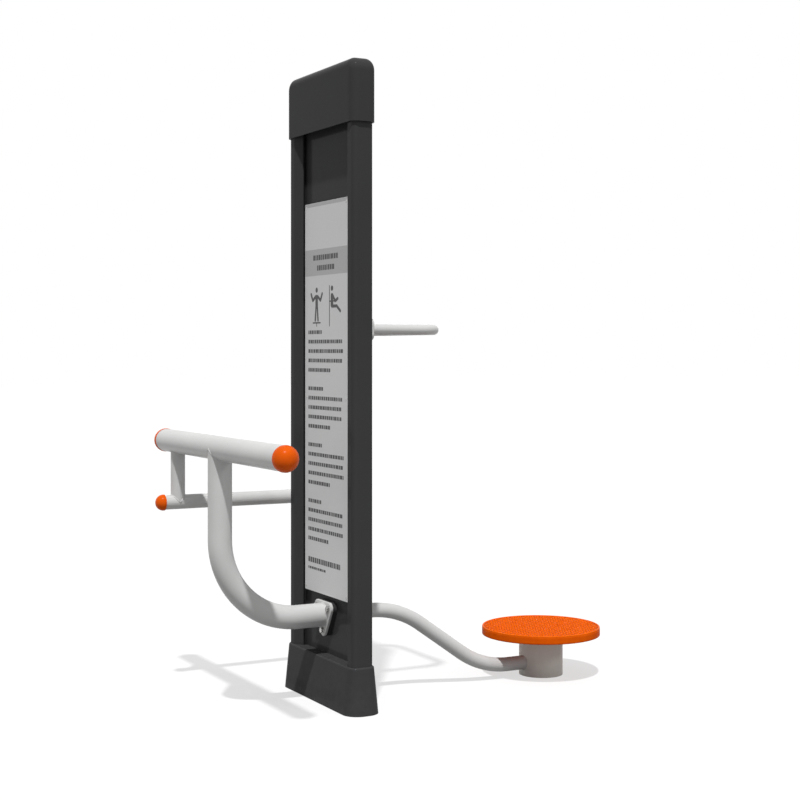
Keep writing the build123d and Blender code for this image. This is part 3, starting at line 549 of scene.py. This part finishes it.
def merged_copy(name, node_names):
    """One new piece from the meshes of CAD nodes, in which points that coincide become one."""
    shell = bmesh.new()
    for node_name in node_names:
        shell.from_mesh(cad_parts[node_name].data)
    bmesh.ops.remove_doubles(shell, verts=shell.verts, dist=MERGE_WITHIN)
    mesh = bpy.data.meshes.new(name)
    shell.to_mesh(mesh)
    shell.free()
    return as_piece(name, mesh)


plate_nodes = ("grip_plate_right", "grip_plate_left")
grip_plates = merged_copy("grip_plates", plate_nodes)
dress(grip_plates, grey_coat, "frame", plate_nodes)

# %% [markdown]
# Bolts, nuts and screws are turned or pressed round an axis, but their heads and sockets have
# six flats. Both are one idea: a radius for each height and angle. A row of the profile gives
# a flat distance and a limit, and the radius is the smaller of flat / cos(angle to the nearest
# flat) and the limit. The limit alone makes a round row, and near the top of a head it cuts
# the familiar chamfer off the corners. A screw thread is a sawtooth of height / pitch minus
# angle / turn, so that it climbs like a real one. ROUND, one metre, stands in a row that has no
# flats, or no limit.

# %% Turned hardware
FASTENER_AROUND = 48
THREAD_PITCH = 1.5 * MM
THREAD_ROWS = 7
ROUND = 1.0
turn_angle = np.linspace(0, TURN, FASTENER_AROUND, endpoint=False)
hexagon = 1 / np.cos((turn_angle + np.pi / 6) % (np.pi / 3) - np.pi / 6)


def turned(rows, places, along, sideways):
    """Rings round an axis: radius = min(flat x hexagon, limit) - thread x sawtooth, per row."""
    height, flat, limit, thread = np.array(rows).T[:, :, None]
    climb = (height / THREAD_PITCH - turn_angle / TURN) % 1
    radius = np.minimum(flat * hexagon, limit) - thread * np.abs(2 * climb - 1)
    spoke = (np.cos(turn_angle)[:, None] * sideways
             + np.sin(turn_angle)[:, None] * np.cross(along, sideways))
    shape = height[..., None] * along + radius[..., None] * spoke
    return np.asarray(places)[:, None, None] + shape


BOLT_CIRCLE = 50.0 * MM
LOBE_RADIUS = 19.0 * MM
BOLT_RADIUS = 5.0 * MM
THREAD_DEPTH = 0.8 * MM
HEAD_FLAT = 8.0 * MM
HEAD_HEIGHT = 6.4 * MM
NUT_HEIGHT = 8.4 * MM
WASHER_RADIUS = 10.0 * MM
WASHER_HEIGHT = 2.0 * MM
THREAD_OVER = 3.0 * MM
SOFT_EDGE = 0.4 * MM
CORNER = HEAD_FLAT / np.cos(np.pi / 6)


def washer_and_hexagon(seat, height):
    """Rows of a washer on a seat and of a hexagon on it, its corners cut off near the top."""
    base = seat + WASHER_HEIGHT
    top = base + height
    return [
        (seat, ROUND, WASHER_RADIUS - SOFT_EDGE, 0),
        (seat + SOFT_EDGE, ROUND, WASHER_RADIUS, 0),
        (base - SOFT_EDGE, ROUND, WASHER_RADIUS, 0),
        (base, ROUND, WASHER_RADIUS - SOFT_EDGE, 0),
        (base, HEAD_FLAT, CORNER, 0),
        (top - 3 * SOFT_EDGE, HEAD_FLAT, CORNER, 0),
        (top - 1.5 * SOFT_EDGE, HEAD_FLAT, CORNER - 1.5 * SOFT_EDGE, 0),
        (top - SOFT_EDGE / 4, HEAD_FLAT, HEAD_FLAT, 0),
        (top, ROUND, HEAD_FLAT - 2 * SOFT_EDGE, 0),
    ]


flange_middle = flange_low[2] + BOLT_CIRCLE + LOBE_RADIUS
bolt_angle = np.radians([-90, 30, 150])
bolt_places = (BOLT_CIRCLE * np.cos(bolt_angle)[:, None] * X
               + (flange_middle + BOLT_CIRCLE * np.sin(bolt_angle))[:, None] * Z)
print("bolt places, mm:", (bolt_places / MM).round(1).tolist())

# %% [markdown]
# One bolt runs from its threaded tail at the back, through both flanges, to its washer and
# head in front. The rows are written from tail to head. The visible tail is cut in many thin
# rows, because the thread needs them.

# %% Through bolts
clamped = -flange_low[1]
tail = -(clamped + WASHER_HEIGHT + NUT_HEIGHT + THREAD_OVER)
thread_rows = [(height, ROUND, BOLT_RADIUS, THREAD_DEPTH)
               for height in np.arange(tail + SOFT_EDGE, -clamped, THREAD_PITCH / THREAD_ROWS)]
bolt_rows = [
    (tail, ROUND, BOLT_RADIUS - THREAD_DEPTH, 0),
    *thread_rows,
    (-clamped, ROUND, BOLT_RADIUS, 0),
    (clamped, ROUND, BOLT_RADIUS, 0),
    *washer_and_hexagon(clamped, HEAD_HEIGHT),
]
through_bolts = lofted("through_bolts", turned(bolt_rows, bolt_places, -Y, X))
dress(through_bolts, zinc_steel, "frame", ("flange_bolts",))

# %% [markdown]
# A nut is a closed loop of rows: up the outside with its washer, over the top and back down
# the bore.

# %% Nuts
nut_top = WASHER_HEIGHT + NUT_HEIGHT
nut_rows = [
    (0, ROUND, BOLT_RADIUS, 0),
    *washer_and_hexagon(0, NUT_HEIGHT),
    (nut_top, ROUND, BOLT_RADIUS + 2 * SOFT_EDGE, 0),
    (nut_top - 2 * SOFT_EDGE, ROUND, BOLT_RADIUS, 0),
]
nut_places = bolt_places + rear_flange_high[1] * Y
hex_nuts = lofted("hex_nuts", turned(nut_rows, nut_places, Y, X), closed_along=True)
dress(hex_nuts, zinc_steel, "frame", ("flange_nuts",))

# %% [markdown]
# The screws of the grip plates and of the cap have low domed heads with a hexagon socket. The
# rows go up the shank, out under the head, over the dome and down into the socket, which is a
# six-sided hole because its rows have a flat distance.

# %% Domed socket screws
DOME_ROWS = 6
SOCKET_RIM = 1.25


def dome_screw_rows(shank, head, height, length, socket):
    """Rows of a domed screw: the dome is a quarter ellipse of the head's radius and height."""
    rise = np.linspace(0, np.pi / 2, DOME_ROWS, endpoint=False)
    rim = socket * SOCKET_RIM
    dome = [(height * np.sin(t), ROUND, rim + (head - rim) * np.cos(t), 0) for t in rise]
    return [
        (-length, ROUND, shank - SOFT_EDGE, 0),
        (SOFT_EDGE - length, ROUND, shank, 0),
        (0, ROUND, shank, 0),
        *dome,
        (height, ROUND, rim, 0),
        (height, socket, ROUND, 0),
        (height / 3, socket, ROUND, 0),
    ]


GRIP_SCREW = {"shank": 4.0 * MM, "head": 7.0 * MM, "height": 4.0 * MM,
              "length": 24.0 * MM, "socket": 2.5 * MM}
CAP_SCREW = {"shank": 3.0 * MM, "head": 6.0 * MM, "height": 3.0 * MM,
             "length": 20.0 * MM, "socket": 2.0 * MM}
screws_low, screws_high, _ = corners("grip_screws")
grip_x = screws_high[0] - GRIP_SCREW["head"]
grip_z = (screws_low[2] + GRIP_SCREW["head"], screws_high[2] - GRIP_SCREW["head"])
grip_places = [(side * grip_x, grip_plate_high[1], z) for side in (-1, 1) for z in grip_z]
_, screws_high, screws_mid = corners("cap_screws")
cap_x = screws_high[0] - CAP_SCREW["head"]
cap_y = screws_high[1] - CAP_SCREW["height"]
cap_places = [(side * cap_x, cap_y, screws_mid[2]) for side in (-1, 1)]
for screws, rows, places in (("grip", dome_screw_rows(**GRIP_SCREW), grip_places),
                             ("cap", dome_screw_rows(**CAP_SCREW), cap_places)):
    domed = lofted("socket_screws_" + screws, turned(rows, places, Y, X))
    dress(domed, zinc_steel, "frame", (screws + "_screws",))

# %% [markdown]
# Shoes grip the disc on rows of small domes moulded in one with it. They stand on a triangular
# grid, which packs them evenly in every direction. One dome is a quarter ellipse turned round
# its axis, and the grid function above takes all copies together. They ride on the turntable.

# %% Studs of the foot disc
STUD_PITCH = 18.0 * MM
STUD_RADIUS = 5.0 * MM
STUD_HEIGHT = 3.2 * MM
STUD_SINK = 0.4 * MM
STUD_MARGIN = 13.0 * MM
STUD_AROUND = 12
STUD_RISE = np.radians([0, 30, 58, 80])
disc_low, disc_high, disc_mid = corners("foot_disc")
disc_radius = (disc_high[0] - disc_low[0]) / 2
reach = int(2 * disc_radius / STUD_PITCH)
steps = np.arange(-reach, reach + 1)
column_step, row_step = (grid.ravel() for grid in np.meshgrid(steps, steps))
stud_x = STUD_PITCH * (column_step + row_step / 2)
stud_y = STUD_PITCH * row_step * np.sqrt(3) / 2
inside = np.hypot(stud_x, stud_y) < disc_radius - STUD_MARGIN
stud_places = np.stack([stud_x[inside], stud_y[inside] + disc_mid[1],
                        np.full(inside.sum(), disc_high[2])], axis=1)
stud_radius = STUD_RADIUS * np.append(1, np.cos(STUD_RISE))
stud_height = np.append(-STUD_SINK, STUD_HEIGHT * np.sin(STUD_RISE))
stud_angle = np.linspace(0, TURN, STUD_AROUND, endpoint=False)
stud_spoke = np.cos(stud_angle)[:, None] * X + np.sin(stud_angle)[:, None] * Y
stud = stud_radius[:, None, None] * stud_spoke + stud_height[:, None, None] * Z
disc_studs = lofted("disc_studs", stud_places[:, None, None] + stud)
dress(disc_studs, stud_plastic_painted_lighter, "turntable")
print("studs:", inside.sum())

# %% [markdown]
# A low rounded lip runs round the edge of the tread, so that a shoe feels where the disc ends.
# It is one circle carried round another.

# %% Lip of the foot disc
LIP_RADIUS = 3.0 * MM
LIP_INSET = 3.4 * MM
LIP_AROUND = 16
lip_line, lip_out = around(disc_mid * (X + Y) + disc_high * Z, X, Y, disc_radius - LIP_INSET)
lip_angle = np.linspace(0, TURN, LIP_AROUND, endpoint=False)
lip_fan = np.cos(lip_angle)[:, None] * lip_out[:, None] + np.sin(lip_angle)[:, None] * Z
disc_lip = lofted("disc_lip", lip_line[:, None] + LIP_RADIUS * lip_fan[:, ::-1], closed_along=True)
dress(disc_lip, stud_plastic_painted_lighter, "turntable")

# %% [markdown]
# The print on the plate is built as a stamp: each bar, disc or limb is a flat outline, raised
# by a fifth of a millimetre like a thick coat of screen ink. The plate carries no words. Rows
# of plain grey bars stand where a text would be, and two simple figures of this lesson's own
# show somebody turning on a disc and somebody lifting the legs at a bar.

# %% Stamps on the plate
INK_HEIGHT = 0.2 * MM
BAND_HEIGHT = 0.1 * MM
OVERPRINT = 0.01 * MM
OVERPRINT_LAYERS = 8
INK_SINK = 0.05 * MM
LIMB_AROUND = 20
plate_low, plate_high, plate_middle = corners("sign_plate")
plate_face = plate_low[1]


def stamp(outlines, height):
    """Prisms on the plate from k outlines of m points (x, z), each a trace above the last one.

    The traces keep overlapping prints apart, and start again after OVERPRINT_LAYERS outlines.
    """
    outlines = np.asarray(outlines, float)
    layer = (OVERPRINT * (np.arange(len(outlines)) % OVERPRINT_LAYERS))[:, None, None]
    flat = outlines[..., :1] * X + outlines[..., 1:] * Z
    back = flat + (plate_face + INK_SINK) * Y
    front = flat + (plate_face - height - layer) * Y
    return np.stack([back, front], axis=1)


def bars(left, low, width, height):
    """Rectangle outlines from arrays of their left, low, width and height."""
    left, low, width, height = np.broadcast_arrays(left, low, width, height)
    x = np.stack([left, left + width, left + width, left], axis=-1)
    z = np.stack([low, low, low + height, low + height], axis=-1)
    return np.stack([x, z], axis=-1)


def limbs(starts, ends, width):
    """Outlines of straight strokes: a half circle about each end, joined; equal ends give a dot."""
    starts, ends = np.asarray(starts, float), np.asarray(ends, float)
    heading = np.arctan2(*(ends - starts).T[::-1])
    half = np.linspace(-np.pi / 2, np.pi / 2, LIMB_AROUND // 2)
    front = heading[:, None] + half
    angle = np.concatenate([front, front + np.pi], axis=1)
    centre = np.repeat(np.stack([ends, starts], axis=1), LIMB_AROUND // 2, axis=1)
    stroke = np.stack([np.cos(angle), np.sin(angle)], axis=-1)
    return centre + width / 2 * stroke


print("plate face at y", round(plate_face / MM, 2), "mm")

# %% [markdown]
# The plate is ruled like a notice: a thin strip on top, a bare header, a toned band with two
# centred lines, the figures, then blocks of lines under short headings, and two foot lines.
# The strip and the band come first, because the dark print lies on them.

# %% Toned bands
BAND_INSET = 1.0 * MM
STRIP_HEIGHT = 11.0 * MM
BAND_DROP = 153.0 * MM
BAND_DEPTH = 86.0 * MM
plate_width = plate_high[0] - plate_low[0]
plate_top = plate_high[2]
band_top = plate_top - BAND_DROP
band_lows = [plate_top - STRIP_HEIGHT - BAND_INSET, band_top - BAND_DEPTH]
toned = bars(plate_low[0] + BAND_INSET, band_lows, plate_width - 2 * BAND_INSET,
             [STRIP_HEIGHT, BAND_DEPTH])
sign_bands = lofted("sign_bands", stamp(toned, BAND_HEIGHT))
dress(sign_bands, band_ink, "frame")

# %% [markdown]
# A line of text is a row of bars with the lengths of words. The lengths come from a seeded
# random generator, so that each run draws the same rows. Heights are measured down from the top
# of the plate or of the band, and the foot lines' up from the plate's lower edge.

# %% Rows of bars
WORD_SEED = 11
WORD_GAP = 3.5 * MM
WORD_RANGE = (6.0 * MM, 18.0 * MM)
TEXT_MARGIN = 26.0 * MM
BLOCKS = 4
BLOCK_DROP = 430.0 * MM
BLOCK_PITCH = 185.0 * MM
LINE_PITCH = 31.0 * MM
LINE_HEIGHT = 12.0 * MM
TITLE_HEIGHT = 17.0 * MM
SMALL_HEIGHT = 8.0 * MM
HEADING_SHARE = 0.42
LINE_SHARES = (1, 0.97, 0.99, 0.62)
TITLES = ((36.0 * MM, 0.72), (70.0 * MM, 0.5))
FOOT_LINES = ((94.0 * MM, 0.9, TITLE_HEIGHT), (72.0 * MM, 0.5, SMALL_HEIGHT))
words = np.random.default_rng(WORD_SEED)
text_left = plate_low[0] + TEXT_MARGIN
text_width = plate_width - 2 * TEXT_MARGIN


def line_of_words(left, low, length, height):
    """Bars with random widths from WORD_RANGE and fixed gaps, cut off at the line's length."""
    widths = words.uniform(*WORD_RANGE, size=int(length / WORD_RANGE[0]) + 1)
    starts = np.concatenate([[0], np.cumsum(widths + WORD_GAP)[:-1]])
    kept = starts + widths <= length
    return bars(left + starts[kept], low, widths[kept], height)


rows_of_bars = []
for block in range(BLOCKS):
    block_low = plate_top - BLOCK_DROP - block * BLOCK_PITCH
    for line, share in enumerate((HEADING_SHARE, *LINE_SHARES)):
        rows_of_bars.append(line_of_words(text_left, block_low - line * LINE_PITCH,
                                          text_width * share, LINE_HEIGHT))
for title_drop, share in TITLES:
    title_width = text_width * share
    rows_of_bars.append(line_of_words(plate_middle[0] - title_width / 2, band_top - title_drop,
                                      title_width, TITLE_HEIGHT))
for foot_rise, share, height in FOOT_LINES:
    rows_of_bars.append(line_of_words(text_left, plate_low[2] + foot_rise,
                                      text_width * share, height))
word_bars = lofted("sign_word_bars", stamp(np.concatenate(rows_of_bars), INK_HEIGHT))
dress(word_bars, dark_ink, "frame")

# %% [markdown]
# A figure is a head and a handful of strokes. The joints are written as shares of the figure's
# height, measured from the middle of its feet, and one function scales them to the plate. The
# strokes of one width stand together: head, body, limbs, and the equipment in thin lines.

# %% Exercise figures
FIGURE_HEIGHT = 118.0 * MM
FIGURE_DROP = 396.0 * MM
HEAD_WIDTH = 17.0 * MM
BODY_WIDTH = 19.0 * MM
LIMB_WIDTH = 10.0 * MM
THIN_WIDTH = 4.5 * MM
TWISTER = {
    HEAD_WIDTH: [((0, 0.93), (0, 0.93))],
    BODY_WIDTH: [((0, 0.72), (0, 0.50))],
    LIMB_WIDTH: [((-0.07, 0.75), (-0.25, 0.64)), ((0.07, 0.75), (0.25, 0.64)),
                 ((-0.25, 0.64), (-0.36, 0.82)), ((0.25, 0.64), (0.36, 0.82)),
                 ((-0.04, 0.46), (-0.09, 0.09)), ((0.04, 0.46), (0.09, 0.09))],
    THIN_WIDTH: [((-0.24, 0.02), (0.24, 0.02)), ((0, 0.02), (0, -0.07))],
}
LIFTER = {
    HEAD_WIDTH: [((-0.16, 0.95), (-0.16, 0.95))],
    BODY_WIDTH: [((-0.16, 0.74), (-0.16, 0.50))],
    LIMB_WIDTH: [((-0.12, 0.76), (0.04, 0.60)), ((0.04, 0.60), (0.20, 0.66)),
                 ((-0.16, 0.46), (0.14, 0.46)), ((0.14, 0.46), (0.36, 0.32))],
    THIN_WIDTH: [((-0.32, -0.07), (-0.32, 1.02)), ((-0.32, 0.60), (0.14, 0.60))],
}
TWISTER_SHARE = -0.22
LIFTER_SHARE = 0.20


def figure(parts, share):
    """Stroke outlines of a figure that stands a share of the plate's width off its middle."""
    foot = np.array([plate_middle[0] + plate_width * share, plate_top - FIGURE_DROP])
    ends = [np.swapaxes(foot + FIGURE_HEIGHT * np.array(strokes), 0, 1)
            for strokes in parts.values()]
    return [limbs(*pair, width) for width, pair in zip(parts, ends)]


figure_strokes = figure(TWISTER, TWISTER_SHARE) + figure(LIFTER, LIFTER_SHARE)
sign_figures = lofted("sign_figures", stamp(np.concatenate(figure_strokes), INK_HEIGHT))
dress(sign_figures, dark_ink, "frame")

# %% [markdown]
# The studio is a pale floor under a white sky. A camera ray that meets either sees almost pure
# white, and so do reflections, while the light that really reaches the object stays at a plain
# level: a soft sky and three lights. The floor keeps the object's shadow, because part of
# what the camera sees of it is ordinary diffuse shading.

# %% Floor and sky
SKY_LIGHT = 0.36
FLOOR_BOUNCE = "#949494"
FLOOR_SHOWN = "#a4a4a4"
FLOOR_GLOW = 0.60
FLOOR_HALF = 40.0
FLOOR_DROP = 0.5 * MM


def sees_backdrop(tree):
    """1 for camera, glossy and transmission rays, else 0, as the largest of three flags."""
    path = add_node(tree, "ShaderNodeLightPath")
    seen = add_node(tree, "ShaderNodeMath",
                    {0: path.outputs["Is Camera Ray"], 1: path.outputs["Is Glossy Ray"]},
                    operation="MAXIMUM")
    seen = add_node(tree, "ShaderNodeMath",
                    {0: seen.outputs["Value"], 1: path.outputs["Is Transmission Ray"]},
                    operation="MAXIMUM")
    return seen.outputs["Value"]


floor_material, floor_tree = empty_material("studio_floor_paint")
bounce = add_node(floor_tree, "ShaderNodeBsdfDiffuse", {"Color": linear(FLOOR_BOUNCE)})
shown = add_node(floor_tree, "ShaderNodeBsdfDiffuse", {"Color": linear(FLOOR_SHOWN)})
glow = add_node(floor_tree, "ShaderNodeEmission", {"Strength": FLOOR_GLOW})
bright = add_node(floor_tree, "ShaderNodeAddShader",
                  {0: shown.outputs["BSDF"], 1: glow.outputs["Emission"]})
floor_mix = add_node(floor_tree, "ShaderNodeMixShader",
                     {0: sees_backdrop(floor_tree), 1: bounce.outputs["BSDF"],
                      2: bright.outputs["Shader"]})
add_node(floor_tree, "ShaderNodeOutputMaterial", {"Surface": floor_mix.outputs["Shader"]})

floor_corner = FLOOR_HALF * np.array([(-1, -1), (1, -1), (1, 1), (-1, 1)])
floor_points = np.column_stack([floor_corner, np.full(4, -FLOOR_DROP)])
floor_mesh = bpy.data.meshes.new("studio_floor")
floor_mesh.from_pydata(floor_points.tolist(), [], [(0, 1, 2, 3)])
floor_mesh.materials.append(floor_material)
studio_floor = bpy.data.objects.new("studio_floor", floor_mesh)
bpy.context.scene.collection.objects.link(studio_floor)

sky = bpy.data.worlds.new("studio_sky")
sky.use_nodes = True
sky.node_tree.nodes.clear()
dim = add_node(sky.node_tree, "ShaderNodeBackground",
               {"Color": linear("#ffffff"), "Strength": SKY_LIGHT})
white = add_node(sky.node_tree, "ShaderNodeBackground",
                 {"Color": linear("#ffffff"), "Strength": 1.0})
sky_mix = add_node(sky.node_tree, "ShaderNodeMixShader",
                   {0: sees_backdrop(sky.node_tree), 1: dim.outputs["Background"],
                    2: white.outputs["Background"]})
add_node(sky.node_tree, "ShaderNodeOutputWorld", {"Surface": sky_mix.outputs["Shader"]})
bpy.context.scene.world = sky
print("sky light", SKY_LIGHT)

# %% [markdown]
# The shadows in the picture tell where the main light stands, and their edges how wide it is.
# The leg bar's shadow runs down its arm, the disc's shadow starts on the rear arm, and the ball
# shows a highlight just above its middle: together they put the light high over the camera's
# side of the object. The far ends of the tubes are bright again, so a wide and weaker light
# stands low on the left. One more weak light on the right lifts the sides of the post, the grip
# and the arms.

# %% Lights
LAMP_DISTANCE = 5.0
LAMPS = {
    "main_light": {"towards": (0.378, -0.23, 0.897), "power": 2.75, "softness": 2.0,
                   "mirrored": True},
    "side_light": {"towards": (-0.85, -0.50, 0.12), "power": 0.3, "softness": 12.0,
                   "mirrored": False},
    "fill_light": {"towards": (0.74, 0.42, 0.52), "power": 0.32, "softness": 12.0,
                   "mirrored": False},
}


def far_light(name, towards, power, softness, mirrored):
    """A sun lamp from a direction, as wide as softness in degrees, with or without highlights."""
    lamp = bpy.data.lights.new(name, "SUN")
    lamp.energy = power
    lamp.angle = np.radians(softness)
    light = bpy.data.objects.new(name, lamp)
    light.rotation_euler = Vector(towards).to_track_quat("Z", "Y").to_euler()
    light.location = LAMP_DISTANCE * Vector(towards)
    light.visible_glossy = mirrored
    bpy.context.scene.collection.objects.link(light)
    print(name, power)


for lamp_name, lamp_settings in LAMPS.items():
    far_light(lamp_name, **lamp_settings)

# %% [markdown]
# The camera stands 1.13 m high, level, and a little over 4.8 m from the post, as the upright
# edges and the slopes of the horizontal ones give it. The picture's frame lies a little below
# that level, which a lens shift does without tilting the uprights.

# %% Camera
CAMERA_PLACE = (4.4116, -2.0963, 1.13364)
LOOKS_ALONG = (-0.8823, 0.4707)
FOCAL_PIXELS = 1505.44
FRAME_PIXELS = 800
HORIZON_PIXEL = 349
SENSOR = 36.0
FURTHEST_SEEN = 200.0
camera_data = bpy.data.cameras.new("photo_camera")
camera_data.sensor_fit = "HORIZONTAL"
camera_data.sensor_width = SENSOR
camera_data.lens = FOCAL_PIXELS / FRAME_PIXELS * SENSOR
camera_data.shift_y = (HORIZON_PIXEL - FRAME_PIXELS / 2) / FRAME_PIXELS
camera_data.clip_end = FURTHEST_SEEN
photo_camera = bpy.data.objects.new("photo_camera", camera_data)
photo_camera.location = CAMERA_PLACE
photo_camera.rotation_euler = (np.pi / 2, 0, np.arctan2(-LOOKS_ALONG[0], LOOKS_ALONG[1]))
bpy.context.scene.collection.objects.link(photo_camera)
bpy.context.scene.camera = photo_camera
bpy.context.scene.view_settings.view_transform = "Standard"
print("lens", round(camera_data.lens, 2), "mm")
